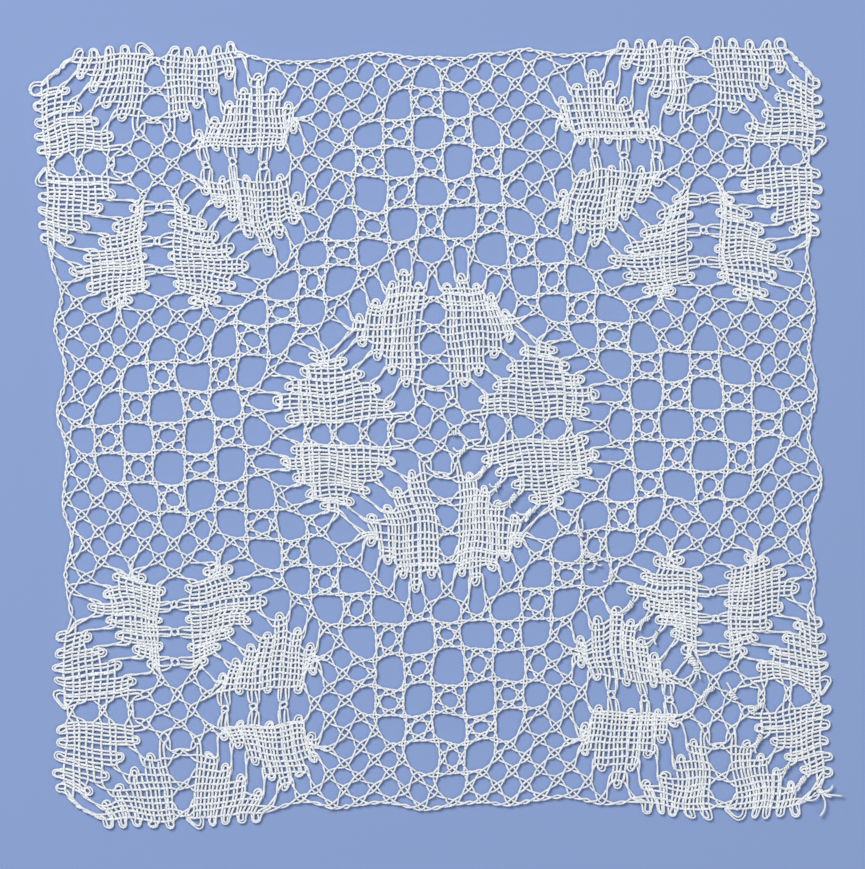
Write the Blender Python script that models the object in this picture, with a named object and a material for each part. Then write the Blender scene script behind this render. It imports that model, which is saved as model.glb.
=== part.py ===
"""Square bobbin lace mat in torchon lace, lying flat.

The lace is worked on a pricking: a grid whose step is a tenth of an inch. Places on it
are (u, v) in grid steps from the middle of the mat, u to the right and v towards the
near edge. Stitches sit where u + v is odd, and the gaps between them where it is even.

The mat is one sheet. Its gaps are cut through: the square ones of the rose ground, the
ladder windows and slits of the five cloth-stitch stars, and the torchon ground, which is
a plain net and is cut at twice its real pitch.
"""

import math

import bpy
import numpy as np

# Driving sizes, in metres
SIDE = 0.127                    # square between the straight edges: 5 inches
STEPS = 50                      # grid steps along that side
STEP = SIDE / STEPS
THICKNESS = 0.0010              # two crossed threads of 0.4 mm, with a little air

# The same mat in grid steps
EDGE = STEPS // 2               # the straight edge, from the middle
EDGE_BULGE = 0.12               # the edge thread stands out this far at each edge pin
STAR_AT = 18                    # how far out the corner stars stand, each way
STARS = ((0, 0), (-STAR_AT, -STAR_AT), (STAR_AT, -STAR_AT), (STAR_AT, STAR_AT), (-STAR_AT, STAR_AT))
LOOP_TIP = EDGE + 0.75          # picot loops round the corner stars
LOOP_FOOT = EDGE + 0.38
LOOP_HALF = 0.30                # half width of a loop near its tip
CORNER = EDGE - 0.35            # the rounded corner, on the diagonal
LOOPS = (23, 22, 21, 20, 19, 17, 16, 15, 14, 13)    # the missing 18 is the star's ladder
EDGE_PINS = range(-12, 13, 2)

# Rose ground, one side of the mat: row (v) -> how far its rose centres lie from u = 0
ROSE_ROWS = {-22: (0,), -20: (2,), -18: (0, 4), -16: (2,), -14: (0, 4), -12: (6,), -10: (8,)}
HALF_ROSE = (2, -12)            # a rose cut short by the middle star
ROUND_ROSE = ((2, 0), (0, 2), (-2, 0), (0, -2))

# Gap shapes in grid steps: half widths along the axes and along the diagonals
ROSE_GAP = (0.93, 1.14)
GROUND_GAP = (0.76, 0.84)
WINDOW_GAP = (0.78, 0.92)
SLIT_LONG, SLIT_WIDE, SLIT_FLAT = 0.84, 0.46, 0.42  # half length, half width, half flat

# How far the finished lace has moved off its pins
PINCH = 0.13                    # the middle is drawn in, and the fields round it let out
SKEW = 0.12                     # corner stars, towards a rhomb
TWIST = 0.13                    # corner stars, out of true with each other
EDGE_SWAY = 0.22                # the straight edges, in and out
SWAY_REACH = 3.0                # and how deep into the lace that is felt
# side: (direction out of the mat, wavelength of the sway, place of one inward dip)
SWAYS = {
    "far": ((0, -1), 9.6, -8.5),
    "left": ((-1, 0), 5.6, -10.0),
    "near": ((0, 1), 5.9, -10.4),
    "right": ((1, 0), 6.2, -5.2),
}
# small ripples: (turns of the wave per step in u and in v, phase, shift in u and in v)
RIPPLES = (
    (0.110, 0.045, 0.4, 0.060, 0.035),
    (-0.060, 0.135, 2.1, 0.035, -0.060),
    (0.205, -0.150, 4.0, 0.035, 0.040),
    (0.140, 0.310, 1.2, -0.035, 0.030),
    (-0.330, 0.190, 5.3, 0.025, 0.035),
)


def settled(u, v):
    """Where a place on the pricking ends up once the pins are out."""
    turn = 2 * math.pi
    out_u = u - 0.5 * PINCH * np.sin(turn * u / EDGE) + (SKEW * v - TWIST * u * v / STAR_AT) / STAR_AT
    out_v = v - PINCH * np.sin(turn * v / EDGE) + (SKEW * u - 0.5 * TWIST * u * v / STAR_AT) / STAR_AT
    for (side_u, side_v), length, dip in SWAYS.values():
        along = u * abs(side_v) + v * abs(side_u)
        depth = EDGE - (u * side_u + v * side_v)
        felt = np.clip(1 - depth / SWAY_REACH, 0, 1) * np.clip((STAR_AT - 4 - abs(along)) / 2, 0, 1)
        sway = EDGE_SWAY * felt * np.cos(turn * (along - dip) / length)
        out_u = out_u - side_u * sway
        out_v = out_v - side_v * sway
    for turns_u, turns_v, phase, shift_u, shift_v in RIPPLES:
        wave = np.sin(turn * (turns_u * u + turns_v * v) + phase)
        out_u = out_u + shift_u * wave
        out_v = out_v + shift_v * wave
    return out_u, out_v


def quarter_turned(points, quarters):
    """A list of grid places turned by quarter turns about the middle."""
    for _ in range(quarters):
        points = [(-v, u) for u, v in points]
    return points


def on_all_sides(places):
    """Grid places given for the far side, mirrored in u and repeated on the four sides."""
    both = list(places) + [(-u, v) for u, v in places]
    return {place for quarters in range(4) for place in quarter_turned(both, quarters)}


def rose_field():
    """Centres of the roses, and of the square gaps between them."""
    roses = on_all_sides([(u, v) for v, row in ROSE_ROWS.items() for u in row])
    gaps = {(u + du, v + dv) for u, v in roses for du, dv in ROUND_ROSE}
    return roses, gaps


def star_places():
    """Windows in the stars' ladders, and the slits between their petals."""
    windows, slits = set(), set()
    for star_u, star_v in STARS:
        for u, v in on_all_sides([(0, -2), (0, -4), (0, -6), (0, -8)]):
            if max(abs(star_u + u), abs(star_v + v)) < EDGE:
                windows.add((star_u + u, star_v + v))
        for k in range(2, 7):
            slits |= {(star_u + su * k, star_v + sv * k) for su in (-1, 1) for sv in (-1, 1)}
    return windows, slits


def in_petal(u, v, tip):
    """True inside a petal: (u, v) from the star's middle, in any of its eight petals."""
    across, along = sorted((abs(u), abs(v)))
    return across >= 1 and across + 2 <= along <= across + tip and across + along <= 12


def in_cloth(u, v):
    """True where a grid place lies in the close cloth of a star."""
    if in_petal(u, v, 8):
        return True
    off_u, off_v = abs(u) - STAR_AT, abs(v) - STAR_AT
    outward = off_v > 0 if abs(off_v) > abs(off_u) else off_u > 0
    return in_petal(off_u, off_v, 8 if outward else 6)


def ground_places(taken):
    """Every second gap each way of the torchon ground, clear of all that is worked otherwise."""
    places = set()
    for u in range(2 - EDGE + 1, EDGE - 2, 2):
        for v in range(2 - EDGE + 1, EDGE - 2, 2):
            if (u + v) % 4 == 0 and (u, v) not in taken and not in_cloth(u, v):
                places.add((u, v))
    return places


def rounded_square(place, gap):
    """Eight points round a place: on the axes and on the diagonals."""
    straight, diagonal = gap
    u, v = place
    radii = [straight if k % 2 == 0 else diagonal for k in range(8)]
    angles = [k * math.pi / 4 for k in range(8)]
    return [(u + r * math.cos(a), v + r * math.sin(a)) for r, a in zip(radii, angles)]


def slit(place, star):
    """A six-sided slit across the line from its star's middle."""
    u, v = place
    slope = -1 if (u - star[0]) * (v - star[1]) > 0 else 1
    outline = [(SLIT_LONG, 0), (SLIT_FLAT, SLIT_WIDE), (-SLIT_FLAT, SLIT_WIDE),
               (-SLIT_LONG, 0), (-SLIT_FLAT, -SLIT_WIDE), (SLIT_FLAT, -SLIT_WIDE)]
    root = math.sqrt(0.5)
    return [(u + (a - slope * b) * root, v + (slope * a + b) * root) for a, b in outline]


def nearest_star(place):
    """The middle of the star that a place belongs to."""
    return tuple(round(c / STAR_AT) * STAR_AT for c in place)


def edge_outline():
    """The mat's outline: loops round the corner stars, straight edges with their pins between."""
    left = [(-CORNER, -CORNER), (-EDGE + 0.9, -EDGE - 0.02), (-EDGE + 1.45, -EDGE - 0.25)]
    for loop in LOOPS:
        left += [(-loop - LOOP_HALF, -LOOP_TIP), (-loop + LOOP_HALF, -LOOP_TIP)]
        left += [(-loop + 0.5, -LOOP_FOOT)]
    right = [(-u, v) for u, v in reversed(left[1:])]
    pins = [(u, -EDGE - EDGE_BULGE) for u in EDGE_PINS]
    side = left + pins + right
    return [point for quarters in range(4) for point in quarter_turned(side, quarters)]


def in_metres(points):
    """Grid places, once settled, as rows of x and y: +Y is the far side."""
    u, v = settled(*np.array(points, float).T)
    return np.column_stack((u, -v)) * STEP


def add_loop(curve, corners):
    """A closed straight-sided spline through corners in metres."""
    spline = curve.splines.new("POLY")
    spline.points.add(len(corners) - 1)
    for corner, (x, y) in zip(spline.points, corners):
        corner.co = (x, y, 0, 1)
    spline.use_cyclic_u = True


def thread_material():
    """Bleached linen thread."""
    material = bpy.data.materials.new("white_linen")
    material.use_nodes = True
    shader = material.node_tree.nodes["Principled BSDF"]
    shader.inputs["Base Color"].default_value = (0.82, 0.84, 0.84, 1)
    shader.inputs["Roughness"].default_value = 0.75
    shader.inputs["Metallic"].default_value = 0.0
    return material


def lace_mat():
    """The whole mat: one flat sheet, its outline and gaps drawn as loops of one curve."""
    roses, rose_gaps = rose_field()
    windows, slits = star_places()
    taken = roses | rose_gaps | windows | slits | on_all_sides([HALF_ROSE]) | set(STARS)
    ground = ground_places(taken)

    curve = bpy.data.curves.new("lace_mat", "CURVE")
    curve.dimensions = "2D"
    curve.fill_mode = "BOTH"
    curve.extrude = THICKNESS / 2
    outline = in_metres(edge_outline())
    middle = (outline.min(axis=0) + outline.max(axis=0)) / 2
    add_loop(curve, outline)
    for places, gap in ((rose_gaps, ROSE_GAP), (windows, WINDOW_GAP), (ground, GROUND_GAP)):
        for place in sorted(places):
            add_loop(curve, in_metres(rounded_square(place, gap)))
    for place in sorted(slits):
        add_loop(curve, in_metres(slit(place, nearest_star(place))))
    print(len(rose_gaps), "rose gaps,", len(windows), "windows,", len(slits), "slits,",
          len(ground), "in the ground; box middle", middle)

    mat = bpy.data.objects.new("lace_mat", curve)
    mat.location = (-middle[0], -middle[1], THICKNESS / 2)
    curve.materials.append(thread_material())
    bpy.context.scene.collection.objects.link(mat)
    return mat


for leftover in list(bpy.data.objects):
    bpy.data.objects.remove(leftover)
lace_mat()
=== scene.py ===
# %% [markdown]
# # A torchon lace mat, thread by thread
#
# A small square mat of bobbin lace: five cloth-stitch stars on a torchon net, a rose
# ground between them, looped corners and four straight edges. It is one sheet, but what
# makes it lace is that every thread can be followed: over one, under the next. So the mat
# is worked as a lace maker works it, crossing by crossing on a pricking, and then each
# thread becomes a tube with its own path.

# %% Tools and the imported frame
import math

import bpy
import numpy as np
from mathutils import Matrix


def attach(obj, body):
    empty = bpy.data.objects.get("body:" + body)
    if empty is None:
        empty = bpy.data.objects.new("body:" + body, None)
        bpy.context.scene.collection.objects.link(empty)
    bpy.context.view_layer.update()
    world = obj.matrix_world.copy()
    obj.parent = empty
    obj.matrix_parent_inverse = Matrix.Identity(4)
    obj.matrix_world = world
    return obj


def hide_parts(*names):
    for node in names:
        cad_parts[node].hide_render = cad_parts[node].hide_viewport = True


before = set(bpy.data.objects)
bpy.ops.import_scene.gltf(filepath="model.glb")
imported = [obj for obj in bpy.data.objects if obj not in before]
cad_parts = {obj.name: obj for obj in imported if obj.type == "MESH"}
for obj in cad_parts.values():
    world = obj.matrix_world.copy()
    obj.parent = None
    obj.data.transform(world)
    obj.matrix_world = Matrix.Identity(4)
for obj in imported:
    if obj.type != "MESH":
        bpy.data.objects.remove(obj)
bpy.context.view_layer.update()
scene = bpy.context.scene


def added(name, data):
    """A new object in the scene, at the origin and unturned."""
    thing = bpy.data.objects.new(name, data)
    scene.collection.objects.link(thing)
    return thing


# %% [markdown]
# ## The pricking
#
# Torchon is drawn on squared paper ruled in tenths of an inch. A place is a complex number
# in steps of that grid, u to the right and v towards the near edge, so a quarter turn is a
# product with 1j and a mirror is a conjugate. Stitches sit where u + v is odd.

# %% Sizes, as in the solid
SIDE = 0.127  # square between the straight edges
STEPS = 50  # grid steps along that side
STEP = SIDE / STEPS
THICKNESS = 0.0010
EDGE = STEPS // 2
STAR_AT = 18
CORNER_STARS = [STAR_AT * (-1 - 1j) * 1j ** k for k in range(4)]  # from the far left, in turn
CENTRE_SHIFT = np.array((0.00034, -0.00028))  # puts the middle of the mat's box on the origin
THREAD = 0.00033  # diameter of the linen thread
print(f"a mat of {STEPS} steps of {STEP * 1000:.2f} mm, thread {THREAD * 1000:.2f} mm")

# row v of the far side -> places u of the roses' middles on it, for the right half
ROSE_ROWS = {-22: (0,), -20: (2,), -18: (0, 4), -16: (2,), -14: (0, 4), -12: (2, 6), -10: (8,)}

# %% Sizes of the relaxed shape, as in the solid
PINCH, SKEW, TWIST = 0.13, 0.12, 0.13  # in grid steps, as all lengths from here on
EDGE_SWAY, SWAY_REACH = 0.22, 3.0
# direction out of the mat, wavelength of the sway, place of one inward dip
SWAYS = ((-1j, 9.6, -8.5), (-1, 5.6, -10.0), (1j, 5.9, -10.4), (1, 6.2, -5.2))
# turns of the wave per step, phase, shift
RIPPLES = (
    (0.110 + 0.045j, 0.4, 0.060 + 0.035j),
    (-0.060 + 0.135j, 2.1, 0.035 - 0.060j),
    (0.205 - 0.150j, 4.0, 0.035 + 0.040j),
    (0.140 + 0.310j, 1.2, -0.035 + 0.030j),
    (-0.330 + 0.190j, 5.3, 0.025 + 0.035j),
)


# %% [markdown]
# Once the pins are out, lace relaxes. The middle draws in a little, the corner stars lean,
# and the straight edges swing in and out between their pins. The solid has the same moves.

# %% Off the pins
def dot(z, way):
    """How far z reaches in the direction of way, times the length of way."""
    return (z * way.conjugate()).real


def settled(z):
    """Where a place on the pricking ends up: sums of sine waves, and near each straight
    edge a wave that fades with depth."""
    turn = 2 * math.pi
    u, v = z.real, z.imag
    out_u = u - 0.5 * PINCH * np.sin(turn * u / EDGE) + (SKEW * v - TWIST * u * v / STAR_AT) / STAR_AT
    out_v = v - PINCH * np.sin(turn * v / EDGE) + (SKEW * u - 0.5 * TWIST * u * v / STAR_AT) / STAR_AT
    out = out_u + 1j * out_v
    for side, length, dip in SWAYS:
        along = u * abs(side.imag) + v * abs(side.real)
        depth = EDGE - dot(z, side)
        felt = np.clip(1 - depth / SWAY_REACH, 0, 1) * np.clip((STAR_AT - 4 - abs(along)) / 2, 0, 1)
        out = out - side * (EDGE_SWAY * felt * np.cos(turn * (along - dip) / length))
    for turns, phase, shift in RIPPLES:
        out = out + shift * np.sin(turn * dot(z, turns) + phase)
    return out


print("the middle of the far edge settles at", np.round(settled(-EDGE * 1j), 2))

# %% [markdown]
# ## Crossings
#
# All of bobbin lace is one move, a thread laid over its neighbour. Each crossing has four
# ports, numbered as they come round it, and a thread that enters by port k leaves by port
# k + 2. An arm is a pair of ports, right hand and left hand as seen looking out: two
# threads that travel together, which is what a lace maker calls a pair.

# %% Keys of places, and how threads are held
def key_of(where):
    """A place rounded to quarter steps, so that two arms offered there find each other."""
    return round(4 * where.real), round(4 * where.imag)


# how firmly a pin keeps a crossing: at 0 it goes where its threads pull it, at 1 it stays
NET_HOLD = 0.5
SLACK = 0.085  # how far a pair's two threads bow apart between crossings


# %% The lace as a net of crossings
class Lace:
    """Crossings, the stretches of thread between them, and arms that still look for a partner."""

    def __init__(self):
        self.places = []  # where each crossing is
        self.hold = []  # how firmly a pin keeps it there
        self.beyond = {}  # port -> the port at the other end of its stretch
        self.bends = {}  # port -> (share of the way, distance to the left) of points passed
        self.waiting = {}  # key of a place -> the arms that meet there
        self.climbs = {}  # key of a place -> where the threads that meet there climb and cross

    def crossing(self, place, hold=NET_HOLD):
        self.places.append(place)
        self.hold.append(hold)
        return len(self.places) - 1

    def join(self, here, there, *bends):
        """One stretch of thread between two ports."""
        self.beyond[here], self.beyond[there] = there, here
        if bends:
            self.bends[here] = bends
            self.bends[there] = tuple((1 - way, -left) for way, left in reversed(bends))

    def chord(self, one, two):
        """The straight way from one port's crossing to another's."""
        return self.places[two[0]] - self.places[one[0]]

    def origin(self, arm):
        """The middle of the two crossings that an arm leaves from."""
        return (self.places[arm[0][0]] + self.places[arm[1][0]]) / 2

    def facing(self, arms, middle, way):
        """The one of some arms round a middle that lies furthest in the given direction."""
        return max(arms, key=lambda arm: dot(self.origin(arm) - middle, way))

    def link(self, one, two, stops=(0.5,), slack=SLACK, hold=NET_HOLD):
        """Joins two arms. The pair's threads cross each other at the stops, each a share of the
        way or a place, and bow apart by the slack between them."""
        start, end = self.origin(one), self.origin(two)
        near, side = one, 0
        for share in stops:
            place = share if isinstance(share, complex) else start + share * (end - start)
            here = self.crossing(place, hold)
            bend = [(0.5, side)] if side else []
            self.join(near[1], (here, 0), *bend)
            self.join(near[0], (here, 1), *[(way, -left) for way, left in bend])
            near, side = ((here, 2), (here, 3)), slack
        self.join(near[0], two[1])
        self.join(near[1], two[0])

    def stitch(self, middle, wide, high, first=0.0, hold=NET_HOLD, bulge=()):
        """Two pairs meeting round a pin: four crossings on an ellipse, the first one at the given
        angle. Gives its four arms in turn."""
        angles = [first + k * math.pi / 2 for k in range(4)]
        ring = [self.crossing(middle + complex(wide * math.cos(a), high * math.sin(a)), hold)
                for a in angles]
        for k in range(4):
            self.join((ring[k], 3), (ring[(k + 1) % 4], 0), *bulge)
        return [((ring[k], 2), (ring[(k + 1) % 4], 1)) for k in range(4)]

    def offer(self, where, arm):
        """An arm that will be linked with the other arm offered at the same place."""
        self.waiting.setdefault(key_of(where), []).append(arm)

    def taken(self, where):
        """The arms offered at a place, which stop waiting there."""
        return self.waiting.pop(key_of(where), [])


# %% A star's own directions
class Sector:
    """A star's own coordinates, turned, mirrored and moved to their place on the mat."""

    def __init__(self, centre, turn=1, mirrored=False):
        self.centre, self.turn, self.mirrored = centre, turn, mirrored

    def place(self, z):
        """z times the star's turn, after its mirror, from the star's middle."""
        return self.centre + self.turn * (z.conjugate() if self.mirrored else z)

    def arm(self, right, left):
        """A mirror changes the right hand port and the left hand one over."""
        return (left, right) if self.mirrored else (right, left)


lace = Lace()

# %% [markdown]
# ## Cloth-stitch petals
#
# A petal is plain weaving. One pair, the weaver, goes to and fro between two rows of pins,
# over and under every hanging pair. At each pin it turns round, and the petal takes in a
# new pair or leaves one out, which is what gives it slanting sides.

# %% Turns of the weaver
# cloth edge in from the pin; half width and height of the outer thread's arch over the last
# row, and of the inner one's
TURNS = {
    "pin": (0.36, 0.29, 0.44, 0.16, 0.31),  # beside the net
    "loop": (0.16, 0.28, 0.39, 0.15, 0.26),  # between two petals
    "picot": (-0.33, 0.30, 0.64, 0.17, 0.51),  # the small loops round the mat's corners
    "tall": (-0.33, 0.30, 0.76, 0.17, 0.63),  # a higher picot
    "open": (-0.33, 0.50, 0.72, 0.37, 0.59),  # its threads spread into a wide ring
    "loose": (-0.33, 0.66, 0.86, 0.46, 0.64),  # dragged aside, its threads crossed at the feet
}
UNEVEN_LOOPS = 0.07  # how much the loops differ in lean and height
# an open loop's feet: how much wider apart, and how far the loop lies aside of its pin
OPEN_WIDER, OPEN_ASIDE = 1.5, 0.10
# a loose loop's feet: aside and out from the pin, and how far the second one is dragged aside
FOOT_ASIDE, FOOT_OUT, LEAN = 0.28, 0.24, 0.70
FIRM_HOLD = 0.85  # of the crossings at such feet


def both_sides(left):
    """An arch from its left half: that half, the top, and the half's mirror image."""
    return (*left, (0, 1), *((-x, y) for x, y in reversed(left)))


# arches in half widths: aside and out from the middle of their round top
ARCH = both_sides(((-1.0, -0.25), (-0.92, 0.4), (-0.55, 0.84)))
OPEN_ARCH = both_sides(((-0.96, 0.05), (-0.92, 0.5), (-0.55, 0.86)))
LEANING = (
    (-1.05, -0.15), (-1.12, 0.45), (-0.88, 0.90), (-0.48, 1), (0.05, 0.72), (0.55, 0.30),
    (0.93, -0.10),
)
uneven = np.random.default_rng(3)


# %% Arches over the last row
def arch_over(lace, one, two, away, shape, half_width, height, lean=0.0):
    """Joins two ports by an arch that rises on the side towards away: the shape times the
    half width, with its top at the height, sheared by the lean."""
    chord = lace.chord(one, two)
    side = 1 if dot(away, chord * 1j) > 0 else -1
    lace.join(one, two, *[(0.5 + (x * half_width + lean * (1 + y)) / abs(chord),
                           side * (height + (y - 1) * half_width)) for x, y in shape])


def turn_round(lace, sector, arriving, leaving, pin, outward, kind):
    """Links two passes round a pin by two arches, the outer one over the longer stretch. In a
    loose loop the threads also cross at each foot."""
    _, *arches = TURNS[kind]
    away = sector.place(pin + outward) - sector.place(pin)
    if kind == "loose":
        near, dragged = pin - FOOT_ASIDE, pin + FOOT_ASIDE + LEAN
        foot_a = lace.crossing(sector.place(near + FOOT_OUT * outward), FIRM_HOLD)
        foot_b = lace.crossing(sector.place(dragged + FOOT_OUT * outward), FIRM_HOLD)
        lace.join(arriving[1], (foot_a, 0))
        lace.join(arriving[0], (foot_a, 1))
        chord = lace.places[foot_b] - lace.places[foot_a]
        outer = 3 if dot(away, chord * 1j) > 0 else 2
        arch_over(lace, (foot_a, outer), (foot_b, 3 - outer), away, LEANING, *arches[:2])
        arch_over(lace, (foot_a, 5 - outer), (foot_b, outer - 2), away, LEANING, *arches[2:])
        lace.join((foot_b, 2), leaving[1])
        lace.join((foot_b, 3), leaving[0])
        return
    lean, taller = uneven.normal(scale=UNEVEN_LOOPS, size=2)
    shape = OPEN_ARCH if kind == "open" else ARCH
    across = sector.place(1 + 0j) - sector.place(0j)
    outer_first = sorted(((arriving[0], leaving[1]), (arriving[1], leaving[0])),
                         key=lambda ports: -abs(lace.chord(*ports)))
    for ports, (half_width, height) in zip(outer_first, (arches[:2], arches[2:])):
        leaning = 0.5 * lean if dot(lace.chord(*ports), across) > 0 else -0.5 * lean
        arch_over(lace, *ports, away, shape, half_width, height * (1 + taller), leaning)


# %% [markdown]
# The weaver's route is a list of stops. Each row is a pair that lies across the passes:
# the first and last pass that it is woven into, where it comes from and where it goes.

# %% The knot at a petal's tip
TIP, TIP_RING, TIP_BULGE, KNOT_HOLD = -1 - 2j, 0.25, 0.06, 0.9
LAST_TURN = -1.24 - 2.85j  # where the weaver leaves the cloth for this knot
CLIMBING = -0.5 - 2.5j  # place of the pair that climbs beside it
CLIMB = (-0.88 - 2.60j, -0.65 - 2.45j, -0.64 - 2.88j)  # of its two threads, and where they cross
# direction from the knot -> place where that arm is linked, none for the weaver's
TIP_ARMS = {-1 - 1j: None, 1 - 1j: CLIMBING, 1 + 1j: -0.5 - 1.5j, -1 + 1j: -1.5 - 1.5j}


def tip_knot(lace, sector, weaver):
    """A stitch where the weaver leaves its petal and meets the pair that is taken out next:
    that pair climbs beside the weaver and then turns to the ladder."""
    tip = sector.place(TIP)
    arms = lace.stitch(tip, TIP_RING, TIP_RING, hold=KNOT_HOLD, bulge=((0.5, -TIP_BULGE),))
    for towards, where in TIP_ARMS.items():
        arm = lace.facing(arms, tip, sector.place(TIP + towards) - tip)
        if where is None:
            lace.link(weaver, arm, ())
        else:
            lace.offer(sector.place(where), arm)
    lace.climbs[key_of(sector.place(CLIMBING))] = [sector.place(place) for place in CLIMB]


def climb(lace, one, two, through):
    """Joins two arms. The first one's threads run side by side, each through one of the first
    two places, the thread that starts nearer through the first. They cross at the third."""
    *passed, place = through
    here = lace.crossing(place, FIRM_HOLD)
    ways = sorted(((one[1], (here, 0)), (one[0], (here, 1))),
                  key=lambda ports: abs(lace.places[ports[0][0]] - passed[0]))
    for (start, end), middle in zip(ways, passed):
        chord = lace.chord(start, end)
        way = (middle - lace.places[start[0]]) / chord
        lace.join(start, end, (way.real, way.imag * abs(chord)))
    lace.join((here, 2), two[1])
    lace.join((here, 3), two[0])


# %% Where a pass lies, and where it meets its rows
PASS_GAP = 0.25  # between the two threads of a pass
ROW_GAP, TIGHTEST = 0.23, 0.16  # half the gap between a row's two threads; least gap of any two
RING_INSET = 1.16  # cloth edge in from a net stitch that the weaver works


def pass_ends(stops, m):
    """Far and near end of the pass between two stops: in from each pin, and to one side of it,
    as the next pass lies to the other."""
    ends = []
    for (place, kind), (other, _), step in ((stops[m], stops[m + 1], PASS_GAP),
                                            (stops[m + 1], stops[m], -PASS_GAP)):
        inward = 1j if other.imag > place.imag else -1j
        inset = TURNS[kind][0] if kind in TURNS else RING_INSET if kind == "ring" else 0
        shift = step if kind in TURNS or kind == "ring" else 0
        if kind == "open":
            shift = OPEN_WIDER * step - OPEN_ASIDE
        ends.append(place + shift + inset * inward)
    return sorted(ends, key=lambda z: z.imag)


def crossed_at(levels, far, near, packing):
    """Places along a pass where it crosses its rows' threads, near end first. A row lies at
    its own level, in the middle of its two threads. Rows without one are spread by a power of
    their number, the packing, so above 1 they lie closer on the near side."""
    order = np.arange(2 * len(levels))
    length, last = near.imag - far.imag, order[-1]
    if levels[0] is None:
        depth = length * (order / last) ** packing
    else:
        level = np.array([middle + side for middle in levels for side in (ROW_GAP, -ROW_GAP)])
        least = min(TIGHTEST, length / (last + 1))
        depth = np.clip(near.imag - level, order * least, length - (last - order) * least)
    return near + (far - near) * depth / length


# %% One petal
CLOTH_HOLD = 0.78
ROW_DRIFT, PASS_DRIFT = 0.050, 0.048  # how unevenly rows and passes lie


def weave(lace, sector, stops, rows, packing=1.0):
    """Plain weave of weaver passes and rows. stops: (place, kind), rows: far side first.
    In the grid, r, t and s number the row, its thread and the thread of the pass."""
    count = len(stops) - 1
    row_drift = uneven.normal(scale=ROW_DRIFT, size=2 * len(rows))
    pass_drift = uneven.normal(scale=PASS_DRIFT, size=(count, 2))
    passes = []
    for m in range(count):
        woven = [r for r in range(len(rows) - 1, -1, -1) if rows[r][0] <= m <= rows[r][1]]
        places = crossed_at([rows[r][4] for r in woven], *pass_ends(stops, m), packing)
        grid = {(r, t, s): lace.crossing(
                    sector.place(complex(places[2 * i + t]) + (s - 0.5) * PASS_GAP
                                 + complex(pass_drift[m, s], row_drift[2 * r + t])), CLOTH_HOLD)
                for i, r in enumerate(woven) for t in (0, 1) for s in (0, 1)}
        threads = [(r, t) for r in woven for t in (0, 1)]
        for low, high in zip(threads, threads[1:]):
            for s in (0, 1):
                lace.join((grid[*low, s], 3), (grid[*high, s], 1))
        for r, t in threads:
            lace.join((grid[r, t, 0], 0), (grid[r, t, 1], 2))
            if passes and (r, t, 1) in passes[-1][0]:
                lace.join((passes[-1][0][r, t, 1], 0), (grid[r, t, 0], 2))
        near_arm = sector.arm((grid[*threads[0], 1], 1), (grid[*threads[0], 0], 1))
        far_arm = sector.arm((grid[*threads[-1], 0], 3), (grid[*threads[-1], 1], 3))
        passes.append((grid, near_arm, far_arm))
    for r, (first, last, come, go, _) in enumerate(rows):
        a, b = passes[first][0], passes[last][0]
        lace.offer(sector.place(come), sector.arm((a[r, 0, 0], 2), (a[r, 1, 0], 2)))
        lace.offer(sector.place(go), sector.arm((b[r, 1, 1], 0), (b[r, 0, 1], 0)))
    for k, (place, kind) in enumerate(stops):
        side = 1 if k % 2 == 0 else 2  # even stops are on the near side
        if kind in TURNS:
            outward = 1j if side == 1 else -1j
            turn_round(lace, sector, passes[k - 1][side], passes[k][side], place, outward, kind)
        elif kind == "ring":
            lace.offer(sector.place(place - 0.5 - 0.5j), passes[k - 1][side])
            lace.offer(sector.place(place + 0.5 - 0.5j), passes[k][side])
        elif kind == "tip":
            tip_knot(lace, sector, passes[-1][side])
        else:
            lace.offer(sector.place(kind), passes[0 if k == 0 else -1][side])


# %% The petals' routes
def slanting(start, tops, kinds, deeper):
    """Stops of a petal beside a ladder: where its weaver starts, its far pins on the given
    rows with the kind of turn at each, and its near pins along the diagonal, moved in a
    little."""
    stops = [(start, -6.5 - 6.5j)]
    for k, (top, kind) in enumerate(zip(tops, kinds)):
        stops.append((complex(k - 5, top), kind))
        if k < 4:
            stops.append((complex(k - 5, k - 6 + deeper), "pin"))
    return stops + [(LAST_TURN, "tip")]


# a row lies so much beyond its number, and the last three at the far end close up by so much
BEYOND, CLOSED_UP = 0.33, 0.8


def rows_of(highest, top):
    """Rows of such a petal from its far row to row -3, each with the pass that takes it in,
    none lying above the given top."""
    rows = []
    for row in range(highest, -2):
        if row < -6:
            first, come = max(0, -2 * (8 + row)), complex(-13.5 - row, row - 0.5)
        else:
            first, come = 2 * row + 13, (row + 0.5) * (1 + 1j)
        level = row - BEYOND + CLOSED_UP * (max(0, -row - 7) / 3) ** 2
        rows.append((first, 9, come, complex(-0.5, row - 0.5), max(level, top)))
    return rows


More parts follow.
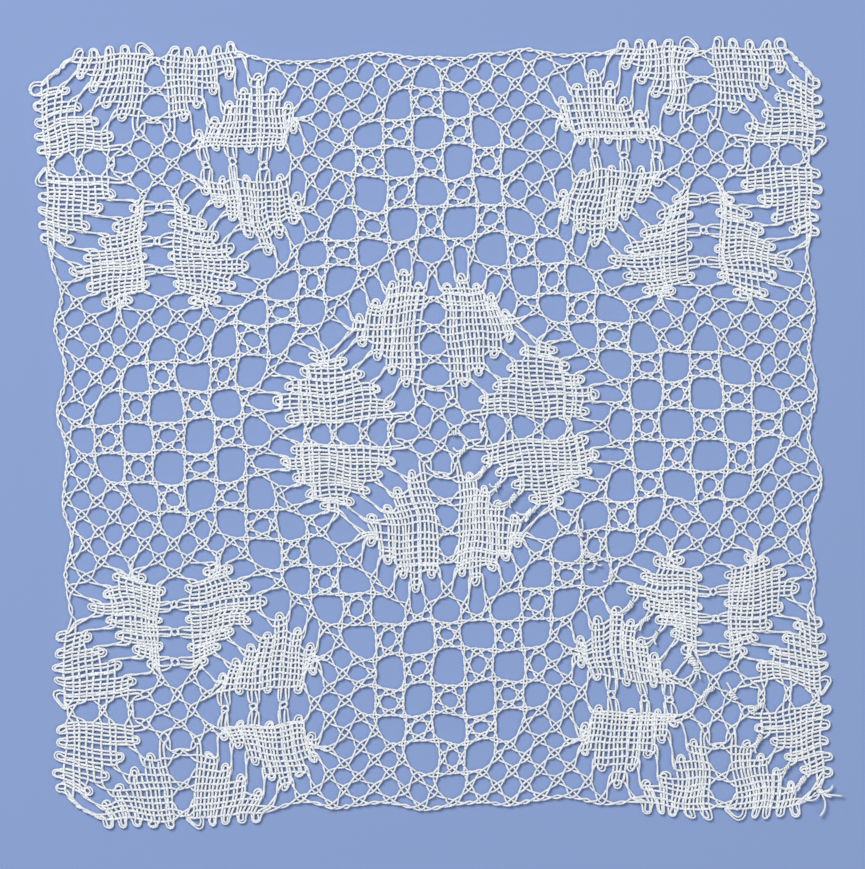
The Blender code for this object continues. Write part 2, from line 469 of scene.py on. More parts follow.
# %% Long petals of the centre star, and a corner star's outer and inner ones
LONG_STOPS = slanting(-5.75 - 6.6j, (-8, -9, -10, -10.75, -10), ["pin"] * 5, 0)
LONG_ROWS = [(6, 7, -2.5 - 11.5j, -1.5 - 11.5j, -10.35)] + rows_of(-10, -9.62)
EDGE_ROWS = [(0, 9, -7 - 7j, -0.5 - 7.5j, -7.08)] + rows_of(-6, -6.2)
INNER_STOPS = ([(2.75 - 1.62j, 2.5 - 1.5j)]
               + [stop for k, near in enumerate(("ring", "loop", "ring", "loop", "ring", "loop"))
                  for stop in ((complex(k + 3, -2 - k if k < 5 else k - 10), "pin"),
                               (complex(k + 3, 0 if near == "ring" else -1), near))]
               + [(9 - 4j, "pin"), (9 - 2j, "pin"), (9.25 - 2.9j, 9.5 - 2.5j)])
INNER_ROWS = [
    (8, 9, 6.5 - 6.5j, 7.5 - 6.5j, None),
    (6, 11, 5.5 - 5.5j, 8.5 - 5.5j, None),
    (4, 13, 4.5 - 4.5j, 9.5 - 4.5j, None),
    (2, 13, 3.5 - 3.5j, 9.5 - 3.5j, None),
    (0, 14, 2.5 - 2.5j, 9.5 - 1.5j, None),
    (1, 12, 2.5 - 1.0j, 8.5 - 0.5j, None),
]
# a corner star's petals: turn, whether mirrored, and for the inner ones their packing
EDGE_PETALS = ((1, False), (-1, True), (1j, True), (-1j, False))
INNER_PETALS = ((1, False, 1.4), (1, True, 0.8), (1j, True, 1.3), (1j, False, 0.9))

# %% Forty petals
for quarter, corner in enumerate(CORNER_STARS):
    turn = 1j ** quarter
    for mirrored in (False, True):
        weave(lace, Sector(0, turn, mirrored), LONG_STOPS, LONG_ROWS)
    for turned, mirrored in EDGE_PETALS:
        kind = "tall" if quarter == 2 and turned in (1, -1) else "picot"
        first = "open" if quarter < 2 and turned == 1j else kind
        last = "loose" if mirrored == (quarter == 3 and turned in (1, -1)) else kind
        stops = slanting(-5.9 - 6.95j, (-7,) * 5, [first] + [kind] * 3 + [last], 0.25)
        weave(lace, Sector(corner, turn * turned, mirrored), stops, EDGE_ROWS)
    for turned, mirrored, packing in INNER_PETALS:
        weave(lace, Sector(corner, turn * turned, mirrored), INNER_STOPS, INNER_ROWS, packing)
petal_crossings = len(lace.places)
print(petal_crossings, "crossings in the petals")

# %% [markdown]
# ## The net
#
# Everywhere else two pairs meet at each stitch, work a ring of four crossings round a pin,
# and part again. The rose ground is the same net with extra stitches between the roses,
# which draw four stitches together and leave a large square gap on each side of them.

# %% Which places hold a net stitch
def in_petal(u, v):
    """True where a stitch place is worked as part of a petal: of the centre star, then of a
    corner star's outer petals, whose along is below 0, or its inner ones."""
    across, along = sorted((abs(u), abs(v)))
    if across >= 1 and across < along <= across + 9 and across + along <= 13:
        return True
    x, y = STAR_AT - abs(u), STAR_AT - abs(v)
    across, along = (abs(x), y) if abs(y) > abs(x) else (abs(y), x)
    if across < 1 or abs(along) + across > 13:
        return False
    if along < 0:
        return across < -along
    return 3 <= along <= 9 and along - 7 <= across < along


# the far side's rows, mirrored and repeated on all four sides
roses = {complex(u, v) * turn for v, row in ROSE_ROWS.items() for right in row
         for u in (right, -right) for turn in (1, 1j, -1, -1j)}
print(len(roses), "roses")

# %% The form of a net stitch
PULLED = 0.22  # how far a rose draws its four stitches in
# half diagonals of a stitch: in the plain net, beside a rose, in the ladder between two
# petals, and in a ladder where the weavers of both petals work it
NET_RING, ROSE_RING, ROSE_RING_THIN = 0.23, 0.29, 0.19
LADDER_RING, LADDER_RING_THIN = 0.28, 0.19
SHARED_RING, SHARED_RING_THIN = 0.25, 0.21
INNERMOST_HOLD = 0.8  # of a ladder's stitch next to the star's middle
shared_stitches = {star + step * towards for star in CORNER_STARS for step in (3, 5, 7)
                   for towards in (1, 1j, -1, -1j) if dot(towards, star) < 0}


def ring_of(here):
    """Middle, half width, half height and hold of the stitch at a place."""
    middle, wide, high, hold = here, NET_RING, NET_RING, NET_HOLD
    towards = [d for d in (1, 1j, -1, -1j) if here + d in roses]
    if towards:
        middle, wide, high = here + PULLED * towards[0], ROSE_RING, ROSE_RING_THIN
        if towards[0].imag == 0:
            wide, high = high, wide
    for star in (0j, *CORNER_STARS):
        off = here - star
        if (off.real == 0 or off.imag == 0) and 1 < abs(off) <= 9:
            wide, high = LADDER_RING, LADDER_RING_THIN
            hold = INNERMOST_HOLD if abs(off) == 3 else hold
            if here in shared_stitches:
                wide, high, hold = SHARED_RING_THIN, SHARED_RING, KNOT_HOLD
            if off.imag == 0:
                wide, high = high, wide
    return middle, wide, high, hold


def half_way(here, k):
    """Where arm k of the stitch at a place meets its partner. One that would leave the mat
    meets an arm of the next stitch on the edge instead."""
    half = here + (0.5 + 0.5j) * 1j ** k
    u, v = here.real, here.imag
    if max(abs(u), abs(v)) == EDGE and min(abs(u), abs(v)) <= 10:
        if abs(half.imag) > EDGE:
            half = complex(2 * half.real - u, v)
        elif abs(half.real) > EDGE:
            half = complex(u, 2 * half.imag - v)
    return half


# %% Net stitches
NET_DRIFT = 0.035  # how unevenly the stitches lie
diverted = {}  # (stitch place, usual half-way place) -> the one used instead
for quarter, corner in enumerate(CORNER_STARS):
    for turned, mirrored, _ in INNER_PETALS:
        sector = Sector(corner, 1j ** quarter * turned, mirrored)
        diverted[sector.place(2 - 1j), sector.place(2.5 - 0.5j)] = sector.place(2.5 - 1.0j)

rng = np.random.default_rng(11)
along_side = range(-EDGE, EDGE + 1)
net_places = [complex(u, v) for u in along_side for v in along_side
              if (u + v) % 2 == 1 and not in_petal(u, v)]
for here in net_places:
    middle, wide, high, hold = ring_of(here)
    middle += complex(*rng.normal(scale=NET_DRIFT, size=2))
    for k, arm in enumerate(lace.stitch(middle, wide, high, hold=hold)):
        half = half_way(here, k)
        lace.offer(diverted.get((here, half), half), arm)
print(len(net_places), "net stitches")

# %% Stitches between the roses
KNOT_RING = 0.15
knots = 0
for place in sorted({rose + corner for rose in roses for corner in (1 + 1j, 1 - 1j, -1 + 1j, -1 - 1j)},
                    key=lambda z: (z.real, z.imag)):
    lean = 1 if (place.real + place.imag) / 2 % 2 == 0 else -1
    halves = [place + 0.5 * complex(lean, -1), place - 0.5 * complex(lean, -1)]
    if any(len(lace.waiting.get(key_of(h), ())) != 2 for h in halves):
        continue
    arms = [arm for h in halves for arm in lace.taken(h)]
    own = lace.stitch(place, KNOT_RING, KNOT_RING, math.pi / 4)
    knots += 1
    for k, towards in enumerate((1j, -1, -1j, 1)):
        nearest = lace.facing(arms, place, towards)
        arms.remove(nearest)
        lace.link(own[k], nearest)
print(knots, "stitches between roses")

# %% Pairs that meet are linked
# shares of the way at which the two threads of an edge pair and of a corner's pair cross, and
# how far they bow apart
EDGE_TURNS, EDGE_SLACK = (0.28, 0.72), 0.10
CORNER_TURNS, CORNER_SLACK = (0.2, 0.45, 0.8), 0.13
LAST_CORNER, LAST_HOLD = 25.15 + 24.35j, 0.8  # the knotted end of the mat's border
PETAL_TURN = (0.6,)  # of a pair between a petal and the net
# on the way to a shared stitch, close beside it: shares of the shorter and of the longer way
CLOSE_SHORT, CLOSE_LONG = 0.8, 0.16
NEXT_TO = 0.8  # a place this near to a stitch is half way along one of its arms


def turns_from_petal(place, start):
    """Where the threads of a pair from a petal cross, and how firmly they are held there."""
    for middle in shared_stitches:
        if abs(place - middle) < NEXT_TO:
            way = start - middle
            upright = abs(way.imag) > abs(way.real)
            across, along = (CLOSE_SHORT, CLOSE_LONG) if upright else (CLOSE_LONG, CLOSE_SHORT)
            return (middle + complex(across * way.real, along * way.imag),), KNOT_HOLD
    return PETAL_TURN, NET_HOLD


for (a, b), (one, two) in lace.waiting.items():
    place = complex(a / 4, b / 4)
    u, v = abs(place.real), abs(place.imag)
    stops, slack, hold = (0.5,), SLACK, NET_HOLD
    if (a, b) in lace.climbs:
        climb(lace, one, two, lace.climbs[a, b])
        continue
    if max(u, v) == EDGE and min(u, v) <= 11:
        stops, slack = EDGE_TURNS, EDGE_SLACK
    elif place == EDGE * (1 + 1j):
        before, after = (lace.origin(one) + LAST_CORNER) / 2, (lace.origin(two) + LAST_CORNER) / 2
        stops, slack, hold = (before, LAST_CORNER, after), EDGE_SLACK, LAST_HOLD
    elif u == v and u == EDGE:
        stops, slack = CORNER_TURNS, CORNER_SLACK
    elif max(one[0][0], one[1][0]) < petal_crossings <= two[0][0]:
        stops, hold = turns_from_petal(place, lace.origin(one))
    lace.link(one, two, stops, slack, hold)
print(len(lace.places), "crossings in all")

# %% [markdown]
# ## Over and under
#
# In lace every thread goes over one thread and under the next, all the way along. So one
# crossing settles all the others: walk the net, and each stretch that leaves a crossing on
# top has to arrive at the next one underneath.

# %% Which thread is on top
over = [None] * len(lace.places)  # 0: the thread of ports 0 and 2 is on top, 1: that of 1 and 3
clashes = 0
for seed in range(len(over)):
    if over[seed] is not None:
        continue
    over[seed] = 0
    walk = [seed]
    while walk:
        here = walk.pop()
        for port in range(4):
            met, into = lace.beyond[here, port]
            wanted = (into + 1) % 2 if port % 2 == over[here] else into % 2
            if over[met] is None:
                over[met] = wanted
                walk.append(met)
            elif over[met] != wanted:
                clashes += 1
print("clashes:", clashes)

# %% [markdown]
# ## Tension
#
# Threads pull on each other. Each crossing is drawn towards the middle of its four
# neighbours, and held back towards its pin. A few rounds of that turn straight rules into
# the soft curves of worked thread.

# %% Drawing the crossings together
CLOTH_PLAY, NET_PLAY = 0.02, 0.032  # how far crossings stray from their pins
ROUNDS = 12
rng = np.random.default_rng(7)
pinned = np.array(lace.places)
play = np.where(np.arange(len(pinned)) < petal_crossings, CLOTH_PLAY, NET_PLAY)
pinned = pinned + play * (rng.normal(size=len(pinned)) + 1j * rng.normal(size=len(pinned)))
hold = np.array(lace.hold)
neighbours = np.array([[lace.beyond[c, k][0] for k in range(4)] for c in range(len(pinned))])
drawn = pinned.copy()
for _ in range(ROUNDS):
    drawn = hold * pinned + (1 - hold) * drawn[neighbours].mean(axis=1)
print("tension moves a crossing by", round(abs(drawn - pinned).mean(), 3), "steps on average")

# %% [markdown]
# ## Following the threads
#
# Starting from any port and always leaving by the opposite one, each thread is followed
# until it comes back to its start. Where the real ones were cut and tied, here they run on
# under the fastenings.

# %% Threads as lists of points
points, levels, in_cloth, thread_starts = [], [], [], []
seen = set()
for start in lace.beyond:
    if start in seen:
        continue
    thread_starts.append(len(points))
    port = start
    while port not in seen:
        there = lace.beyond[port]
        seen |= {port, there}
        here = drawn[port[0]]
        chord = drawn[there[0]] - here
        points.append(here)
        levels.append(1 if port[1] % 2 == over[port[0]] else -1)
        in_cloth.append(port[0] < petal_crossings)
        for way, left in lace.bends.get(port, ()):
            points.append(here + way * chord + left * 1j * chord / abs(chord))
            levels.append(0)
            in_cloth.append(False)
        port = (there[0], (there[1] + 2) % 4)
endless = len(thread_starts)
print(endless, "threads without an end")

# %% [markdown]
# The mat is worked from one corner to the opposite one and joined there along a diagonal.
# Each pair's ends are wound round a neighbour and cut, so a fastening here is a thread that
# winds along a pair, turns, and winds back, like a short piece of rope with two cut ends.

# %% Fastenings along the join
# distance from the middle along the diagonal, aside from it, half turns of thread. Sines and
# remainders of their number make each one a little different
FASTENINGS = (
    (1.0, 0.5, 2), (2.3, -0.4, 3), (3.9, 0.8, 5), (4.5, 0.2, 2), (6.4, 1.0, 4), (6.2, 0.4, 2),
    (7.9, 0.5, 3), (7.9, 1.4, 4), (11.5, 1.4, 3), (12.4, 0.4, 3), (13.0, 0.8, 6), (14.9, 0.5, 3),
    (17.0, 0.6, 3), (17.9, 1.0, 5), (19.3, 0.5, 3), (21.6, 1.2, 4), (23.1, 0.5, 6), (24.3, 0.1, 6),
    (26.5, 0.8, 4), (28.1, 0.8, 5), (29.5, 0.9, 6), (31.6, 0.5, 3), (33.4, 0.2, 5), (35.1, 0.6, 3),
    (35.1, 0.6, 2), (36.0, 0.3, 2),
)
WOUND_WIDE, WOUND_PITCH = 0.125, 0.34  # half width of the rope, length of one full turn
WOUND_UNEVEN = 0.25  # share by which its width comes and goes
WOUND_LEVEL = 1.8  # height of its middle over the lace's, in units of LIFT below
CURL = 0.9  # how far one may curl, in radians for each grid step of it
ENDS = (0.30, 0.62, 0.22, 0.45)  # lengths of the cut ends
END_PLACES, END_LEVELS = (0.35, 0.7, 1.0), (2.0, 2.2, 2.0)  # shares of an end, and heights
END_ASIDE, END_SWAY = 0.35, 0.5  # how the two ends part and sway, in radians
# beyond this distance the ends point off the mat, splayed, and are so much longer
LAST_FASTENING, LAST_SPLAY, LAST_ENDS = 34, 0.55, 2.6
net_crossings = drawn[petal_crossings:]
for k, (along, aside, turns) in enumerate(FASTENINGS):
    wanted = (along - 1j * aside) * (1 + 1j) / abs(1 + 1j)
    tied = petal_crossings + np.argmin(abs(net_crossings - wanted))
    thread_way = drawn[neighbours[tied][2 + k % 2]] - drawn[neighbours[tied][k % 2]]
    lie = thread_way / abs(thread_way)
    if along > LAST_FASTENING:
        lie = -np.exp(1j * (math.pi / 4 + LAST_SPLAY * (k - len(FASTENINGS) + 2)))
    wound = np.linspace(0, math.pi * turns, 4 * turns + 1)
    wide = WOUND_WIDE * (1 + WOUND_UNEVEN * np.sin(0.5 * wound + k))
    way = WOUND_PITCH * (wound / (2 * math.pi) - turns / 4)
    axis = lie * np.exp(1j * CURL * math.sin(3 * k) * way)
    out, home = axis * (way + 1j * wide * np.cos(wound)), axis * (way - 1j * wide * np.cos(wound))
    winding = drawn[tied] + np.concatenate((out, home[::-1]))
    thread_starts.append(len(points))
    tails = []
    for end, sign in ((winding[0], -1), (winding[-1], 1)):
        sway = END_ASIDE * sign + END_SWAY * math.sin(5.0 * k + 2 * sign)
        length = ENDS[(2 * k + (sign > 0)) % len(ENDS)] * (LAST_ENDS if along > LAST_FASTENING else 1)
        tails.append([end - axis[0] * np.exp(1j * sway * (0.6 + share)) * length * share
                      for share in END_PLACES])
    points += tails[0][::-1] + list(winding) + tails[1]
    levels += [*END_LEVELS, *(WOUND_LEVEL + np.sin(wound)), *(WOUND_LEVEL - np.sin(wound[::-1])),
               *END_LEVELS]
print(len(FASTENINGS), "fastenings,", sum(turns for _, _, turns in FASTENINGS), "half turns")

# %% Points as arrays
points, levels = np.array(points), np.array(levels, float)
in_cloth = np.concatenate((in_cloth, np.zeros(len(points) - len(in_cloth))))
thread_starts = np.array(thread_starts + [len(points)])
print(len(thread_starts) - 1, "threads with the fastenings,", len(points), "points")

# %% [markdown]
# No hand pulls every pair alike, and a used mat is drawn out of square here and there. Long
# waves and some local pulls, each fading like a bell, move all threads near a place together.

# %% Uneven hands
WAVES, WAVE_LENGTHS, WAVE_HEIGHT = 24, (2.8, 6.5), 0.026
# place pulled, reach of the pull, shift
PULLS = (
    (-21 - 26j, 2.4, 0.32), (-15.5 - 26j, 2.4, 0.34), (-15.2 - 21.6j, 1.8, -0.26),
    (-25.5 - 21j, 2.2, -0.22 + 0.08j), (-25.5 + 22j, 3.2, -0.42), (-25.5 + 16.5j, 2.4, -0.2),
    (-20.6 + 23.3j, 2, 0.28 + 0.32j), (21 - 26j, 2.4, 0.2 - 0.14j), (15.5 - 26j, 2.2, 0.15),
    (24 - 22j, 2.4, 0.34 + 0.4j), (25.5 - 15.5j, 2.4, 0.05 + 0.26j), (25 + 14j, 2.6, -0.3 + 0.3j),
    (25.5 + 20.5j, 2.2, -0.2 + 0.22j), (20 + 25.5j, 2.6, 0.42j), (15.5 + 22.5j, 2.2, 0.45 + 0.26j),
    (-12 - 6j, 3.2, -0.2 - 0.42j), (-24.5 - 6.5j, 2.5, 0.22 - 0.15j), (-23 + 7j, 4.5, 0.22 + 0.38j),
    (-15 + 8j, 3, 0.2j), (4 + 15j, 6.5, 0.26 - 0.36j), (-7 + 23.5j, 3, -0.2 - 0.28j),
    (-1 + 6.5j, 2.5, 0.3 - 0.05j), (11.5 + 10.5j, 2.5, 0.38 + 0.22j), (8 + 24.5j, 4, 0.15 - 0.22j),
    (25 + 9j, 2.6, -0.45 + 0.12j), (20 + 4.5j, 4, -0.08 + 0.18j), (11.5 - 4.5j, 4.5, -0.12 - 0.28j),
    (-17.5j, 7, 0.2j), (-7 - 24.5j, 4, -0.05 + 0.16j), (-14 - 18j, 2, 0.32 + 0.05j),
    (24 - 12j, 2.4, -0.22 + 0.05j), (-25.5 + 23.5j, 2, -0.15 + 0.1j),
    (17.5 + 21j, 2.6, 0.12 + 0.22j), (26 + 25j, 2, 0.28j), (-11.5 - 13.5j, 2.2, -0.24 - 0.14j),
    (-12 + 1j, 2, 0.24 - 0.06j), (-6.5 - 3.3j, 1.8, -0.05 + 0.26j), (-5 + 7.5j, 2.2, 0.24 - 0.16j),
    (5.5 - 3.5j, 2, -0.2 - 0.1j), (14.5 + 17j, 2.2, -0.24 + 0.04j), (-12 + 26j, 2, -0.26j),
    (20 + 10j, 1.6, 0.26 + 0.1j), (19.2 + 21.4j, 1.3, -0.48), (19.1 + 25j, 1.4, 0.62),
    (17.1 + 25j, 1.1, -0.52),
)
rng = np.random.default_rng(5)
shift = np.zeros_like(points)
for _ in range(WAVES):
    direction, phase, way = rng.uniform(0, 2 * math.pi, 3)
    turns = np.exp(1j * direction) * 2 * math.pi / rng.uniform(*WAVE_LENGTHS)
    shift += WAVE_HEIGHT * np.exp(1j * way) * np.sin(dot(points, turns) + phase)
for place, reach, pull in PULLS:
    shift += pull * np.exp(-0.5 * (abs(points - place) / reach) ** 2)
points = points + shift
print("the strongest pull is", round(abs(shift).max(), 2), "steps")

# %% [markdown]
# ## Thread surfaces
#
# Each path is smoothed by a cubic through its points, and a ring of six points is carried
# along it. A curve with a round bevel would look much the same, but arrays for all threads
# at once are quick, let each ring have its own width, and give a UV map along the thread.

# %% Paths in metres
MIDDLE = 0.45  # height of the lace's middle, as a share of its thickness
LIFT = 0.48  # of a thread over that middle at a crossing, in thread diameters
TINY = 1e-7
flat = settled(points)
path = np.column_stack((flat.real * STEP + CENTRE_SHIFT[0], -flat.imag * STEP + CENTRE_SHIFT[1],
                        THICKNESS * MIDDLE + levels * LIFT * THREAD))
index = np.arange(len(path))
thread_of = np.searchsorted(thread_starts, index, side="right") - 1
own_first, own_last = thread_starts[thread_of], thread_starts[thread_of + 1] - 1
goes_round = thread_of < endless
is_last = index == own_last
following = np.where(is_last, np.where(goes_round, own_first, index), index + 1)
before = np.where(index == own_first, np.where(goes_round, own_last, index), index - 1)

# %% Slopes at the points
def lengths_of(ways):
    """Length of each row, kept off zero, as a column that rows can be divided by."""
    return np.maximum(np.linalg.norm(ways, axis=1), TINY)[:, None]


# the slope at a point is the mean of those before and after it, the shorter stretch counting
# for more, and at an end it is that of the only stretch
span, back = lengths_of(path[following] - path), lengths_of(path - path[before])
slope = ((path - path[before]) / back * span + (path[following] - path) / span * back) / (span + back)
whole = path[following] - path[before]
lone = (following == index) | (before == index)
slope[lone] = (whole / lengths_of(whole))[lone]
print(lone.sum(), "loose ends; longest stretch", round(span.max() * 1000, 2), "mm")

# %% Rings along every path
RING_STEP = 0.00050
MOST_RINGS = 6  # on one stretch
SIDES = 6
REST = 0.58  # lowest middle of a thread, in diameters: the table holds it up
has_band = ~(is_last & ~goes_round)
parts = np.where(has_band, np.clip(np.round(span[:, 0] / RING_STEP), 1, MOST_RINGS).astype(int), 1)
source = np.repeat(index, parts)
first_ring = np.cumsum(parts) - parts
share = (np.arange(len(source)) - first_ring[source]) / parts[source]
s, ahead = share[:, None], following[source]
a, b = path[source], path[ahead]
ta, tb = slope[source] * span[source], slope[ahead] * span[source]
centre = ((2 * s**3 - 3 * s**2 + 1) * a + (s**3 - 2 * s**2 + s) * ta
          + (3 * s**2 - 2 * s**3) * b + (s**3 - s**2) * tb)
centre[:, 2] = np.maximum(centre[:, 2], REST * THREAD)
heading = ((6 * s**2 - 6 * s) * a + (3 * s**2 - 4 * s + 1) * ta
           + (6 * s - 6 * s**2) * b + (3 * s**2 - 2 * s) * tb)
heading /= lengths_of(heading)
aside = np.cross((0.0, 0.0, 1.0), heading)
aside /= lengths_of(aside)
up = np.cross(heading, aside)

# %% Bands between the rings, and how thick the thread is at each ring
rings = np.arange(len(source))
last_part = rings == (first_ring + parts - 1)[source]
next_ring = np.where(last_part, first_ring[following[source]], rings + 1)
band = np.where(last_part, has_band[source], True)
band_length = np.linalg.norm(centre[next_ring] - centre, axis=1)
run = np.cumsum(band_length) - band_length
SPREAD = 0.21  # how much wider a thread lies where it is woven into cloth
wider = 1 + SPREAD * ((1 - share) * in_cloth[source] + share * in_cloth[ahead])
# slubs, a sum of sines: share of the diameter, wavelength in metres, phase
SLUBS = ((0.06, 0.0137, 0.0), (0.05, 0.0061, 1.0), (0.04, 0.0029, 2.0))
slub = sum((height * np.sin(2 * math.pi * run / length + phase) for height, length, phase in SLUBS), 1)
print(len(rings), "rings,", round(band_length[band].sum(), 2), "m of thread")


# %% A piece of the lace as one mesh
def thread_mesh(name, wanted):
    """Tubes for the wanted bands: a circle of SIDES points at each ring, closed by a cap
    wherever a run of bands begins or ends. U goes round the thread and V along it, in metres."""
    own = np.flatnonzero(wanted)
    used = np.unique(np.concatenate((own, next_ring[own])))
    number = np.full(len(rings), -1)
    number[used] = np.arange(len(used))
    angle = 2 * math.pi * np.arange(SIDES) / SIDES
    circle = (np.cos(angle)[None, :, None] * (wider[used][:, None] * aside[used])[:, None, :]
              + np.sin(angle)[None, :, None] * up[used][:, None, :])
    verts = (centre[used][:, None, :] + 0.5 * THREAD * slub[used][:, None, None] * circle).reshape(-1, 3)
    k = np.arange(SIDES)
    k_next = (k + 1) % SIDES
    near, far = number[own][:, None] * SIDES, number[next_ring[own]][:, None] * SIDES
    quads = np.stack((near + k, near + k_next, far + k_next, far + k), axis=2).reshape(-1, 4)
    starts = np.setdiff1d(own, next_ring[own])
    ends = np.setdiff1d(next_ring[own], own)
    caps = np.concatenate((number[starts][:, None] * SIDES + k[::-1], number[ends][:, None] * SIDES + k))
    mesh = bpy.data.meshes.new(name)
    mesh.vertices.add(len(verts))
    mesh.vertices.foreach_set("co", verts.ravel())
    corners = np.concatenate((quads.ravel(), caps.ravel()))
    mesh.loops.add(len(corners))
    mesh.loops.foreach_set("vertex_index", corners)
    sizes = np.concatenate((np.full(len(quads), 4), np.full(len(caps), SIDES)))
    mesh.polygons.add(len(sizes))
    mesh.polygons.foreach_set("loop_start", np.cumsum(sizes) - sizes)
    mesh.polygons.foreach_set("use_smooth", sizes == 4)
    begins, stops = run[own], run[own] + band_length[own]
    uv = np.zeros((len(own), SIDES, 4, 2))
    uv[..., 0] = np.stack((k, k + 1, k + 1, k), axis=1) / SIDES
    uv[..., 1] = np.stack((begins, begins, stops, stops), axis=1)[:, None, :]
    layer = mesh.uv_layers.new(name="thread")
    layer.data.foreach_set("uv", np.concatenate((uv.ravel(), np.zeros(caps.size * 2))))
    mesh.update(calc_edges=True)
    mesh.validate()
    triangles = 2 * len(quads) + (SIDES - 2) * len(caps)
    surface = math.pi * THREAD * band_length[own].sum()
    print(name, triangles, "triangles,", round(surface * 1e4, 1), "cm2 of thread")
    return added(name, mesh)


# %% [markdown]
# ## Linen
#
# The thread is two plies twisted together, bleached but not snow white. Two thin tubes wound
# together would double the faces, so the plies are slanting grooves that follow the thread's
# own UV map: a bump, and painted shade that darkens the colour in each groove.

# %% Shader maths as Python expressions
class Wire:
    """A socket's value. Sums, differences and products of wires add Math nodes."""

    def __init__(self, finish, socket):
        self.finish, self.socket = finish, socket

    def maths(self, operation, *values):
        return self.finish.node("ShaderNodeMath", {"operation": operation}, dict(enumerate(values)))

    def beside(self, output):
        """Another output of the node that this value comes from."""
        return Wire(self.finish, self.socket.node.outputs[output])

    def __add__(self, other):
        return self.maths("ADD", self, other)

    def __sub__(self, other):
        return self.maths("SUBTRACT", self, other)

    def __rsub__(self, other):
        return self.maths("SUBTRACT", other, self)

    def __mul__(self, other):
        return self.maths("MULTIPLY", self, other)

    __radd__, __rmul__ = __add__, __mul__


class Finish:
    """A material under construction."""

    def __init__(self, name):
        self.material = bpy.data.materials.new(name)
        self.material.use_nodes = True
        self.tree = self.material.node_tree
        self.shader = self.tree.nodes["Principled BSDF"]

    def node(self, kind, settings=None, sockets=None, output=0):
        """Adds a node: its settings first, then the values or links of its sockets."""
        made = self.tree.nodes.new(kind)
        for key, value in (settings or {}).items():
            setattr(made, key, value)
        self.put(made, sockets or {})
        return Wire(self, made.outputs[output])

    def put(self, node, sockets):
        """Links each socket, named or numbered, to a wire, or sets it to a value."""
        for key, value in sockets.items():
            if isinstance(value, Wire):
                self.tree.links.new(value.socket, node.inputs[key])
            else:
                node.inputs[key].default_value = value


# %% The thread's finish
PLY_TURN = 0.0009  # length of one full turn of the two plies
NOISES = ((1700.0, 1.0), (260.0, 3.0), (38.0, 2.0))  # scale and detail: fine to broad
# the two ends of the thread's tone: the grooves' painted shade pulls the colour towards DARK
DARK, BRIGHT = (0.50, 0.56, 0.62, 1), (0.95, 0.97, 0.99, 1)
linen = Finish("bleached_linen")
uv_map = linen.node("ShaderNodeUVMap", {"uv_map": "thread"})
round_u = linen.node("ShaderNodeSeparateXYZ", sockets={0: uv_map})
along_v = round_u.beside("Y")
phase = (round_u * 2.0 + along_v * (2.0 / PLY_TURN)) * (2 * math.pi)
# height of the plies, low in a groove: it drives the bump, and in the colour it darkens each groove as
# painted shade
ply_height_and_groove_shade = phase.maths("SINE", phase) * 0.5 + 0.5
spot = linen.node("ShaderNodeTexCoord", output="Object")
fibres, blotch, broad = (
    linen.node("ShaderNodeTexNoise", sockets={"Vector": spot, "Scale": scale, "Detail": detail})
    for scale, detail in NOISES)
# the thread's tone: painted shade in the plies' grooves, mottling of the fibres, and blotches and broad
# patches of uneven yellowing
shade = ply_height_and_groove_shade * 0.35 + (fibres * 2.0 - 0.5) * 0.45 + blotch * 0.3 + broad * 0.2
# sockets of a Mix node for colours: 0 the share, 6 and 7 the two colours, 2 the mixed one
mixed = linen.node("ShaderNodeMix", {"data_type": "RGBA"}, {0: shade, 6: DARK, 7: BRIGHT}, 2)
groove = {"Strength": 0.6, "Distance": 0.00008, "Height": ply_height_and_groove_shade}
bump = linen.node("ShaderNodeBump", sockets=groove)
linen.put(linen.shader, {"Base Color": mixed, "Roughness": 0.78, "Normal": bump})
print("the thread's finish has", len(linen.tree.nodes), "nodes")

# %% [markdown]
# The mat is one piece. It is split into four quarters only to keep each mesh small, and the
# threads run on from one to the next.

# %% Four quarters of the mat
middle_of_band = (centre + centre[next_ring]) / 2
right, far_side = middle_of_band[:, 0] > CENTRE_SHIFT[0], middle_of_band[:, 1] > CENTRE_SHIFT[1]
for name, wanted in (("far_left", ~right & far_side), ("far_right", right & far_side),
                     ("near_right", right & ~far_side), ("near_left", ~right & ~far_side)):
    piece = thread_mesh("lace_" + name, band & wanted)
    piece.data.materials.append(linen.material)
    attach(piece, "root")
    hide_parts("lace_mat")

# %% [markdown]
# ## Floor, light and camera
#
# A pale card lies under the mat, blue enough that white thread stands out from it. Two soft
# boxes and an even sky light it: the key from the far left, so that each thread shades its
# neighbour on the near right, and a weaker one opposite. The camera looks straight down.

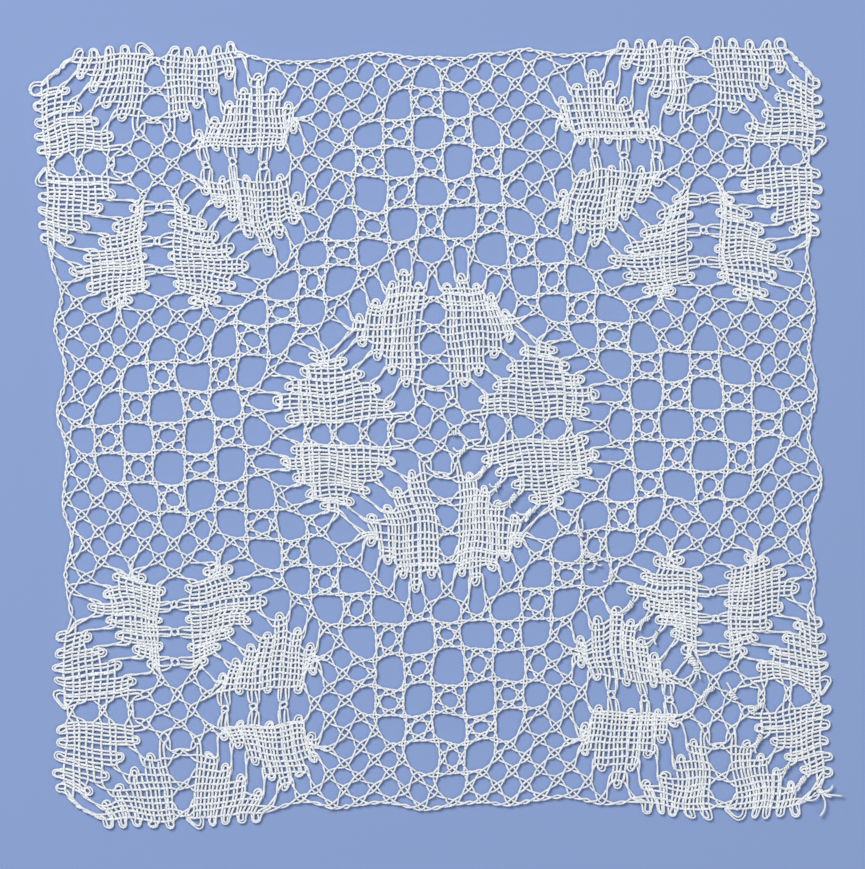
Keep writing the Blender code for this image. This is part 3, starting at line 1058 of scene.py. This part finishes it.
# %% Floor
REACH = 0.6
floor_mesh = bpy.data.meshes.new("floor")
corners = [(-REACH, -REACH, 0), (REACH, -REACH, 0), (REACH, REACH, 0), (-REACH, REACH, 0)]
floor_mesh.from_pydata(corners, [], [(0, 1, 2, 3)])
floor = added("floor", floor_mesh)
card = Finish("pale_card")
card.put(card.shader, {"Base Color": (0.22, 0.31, 0.56, 1), "Roughness": 0.9})
floor_mesh.materials.append(card.material)


# %% Light
def area_light(name, place, size, power):
    """A square soft box that faces the middle of the mat."""
    data = bpy.data.lights.new(name, "AREA")
    data.size, data.energy = size, power
    lamp = added(name, data)
    lamp.location = place
    lamp.rotation_euler = (-lamp.location).to_track_quat("-Z", "Y").to_euler()
    print(name, size, "m wide,", power, "W")


area_light("key_light", (-0.50, 0.62, 0.98), 0.63, 15.4)
area_light("fill_light", (0.60, -0.45, 0.95), 1.0, 4.2)
world = bpy.data.worlds.new("studio")
world.use_nodes = True
sky = world.node_tree.nodes["Background"]
sky.inputs["Color"].default_value = (1, 1, 1, 1)
sky.inputs["Strength"].default_value = 0.22
scene.world = world
scene.view_settings.view_transform = "Standard"

# %% Camera
FRAME_WIDE, FRAME_HIGH = 865, 869
PIXEL = STEP / 15  # a grid step is 15 pixels wide in the frame
MIDDLE_RIGHT, MIDDLE_DOWN = 438.0, 430.6  # pixel at which the mat's middle shows
ROLL = math.radians(-1.53)
DISTANCE, SENSOR = 1.2, 24
camera_data = bpy.data.cameras.new("camera")
camera_data.sensor_fit = "VERTICAL"
camera_data.sensor_height = SENSOR
camera_data.lens = SENSOR * DISTANCE / (FRAME_HIGH * PIXEL)
camera = added("camera", camera_data)
off_x, off_y = (FRAME_WIDE / 2 - MIDDLE_RIGHT) * PIXEL, -(FRAME_HIGH / 2 - MIDDLE_DOWN) * PIXEL
camera.location = (off_x * math.cos(ROLL) - off_y * math.sin(ROLL) + CENTRE_SHIFT[0],
                   off_x * math.sin(ROLL) + off_y * math.cos(ROLL) + CENTRE_SHIFT[1], DISTANCE)
camera.rotation_euler = (0, 0, ROLL)
scene.camera = camera
print("lens", round(camera_data.lens, 1), "mm, straight above at", DISTANCE, "m")
